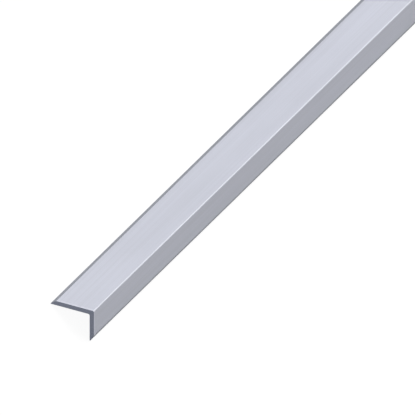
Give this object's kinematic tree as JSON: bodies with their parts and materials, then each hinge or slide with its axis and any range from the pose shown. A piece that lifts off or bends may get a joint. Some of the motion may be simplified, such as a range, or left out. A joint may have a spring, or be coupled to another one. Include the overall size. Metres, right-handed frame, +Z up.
{
  "type": "metal angle section",
  "caption": "Straight aluminium angle bar with unequal legs, bevelled toes, a small heel radius and square sawn ends.",
  "frame": {"origin": "on the floor, in the middle of the box that the bar fits in, half way along its length", "axes": "+Y along the bar's length, +Z up from the floor to the heel, +X towards the narrow leg's toe"},
  "size_m": [0.0224, 1, 0.0128],
  "materials": {
    "aluminium": "satin anodised, with fine die lines along the length and plain sawn ends"
  },
  "bodies": {
    "root": {"angle_bar": "aluminium"}
  },
  "joints": []
}
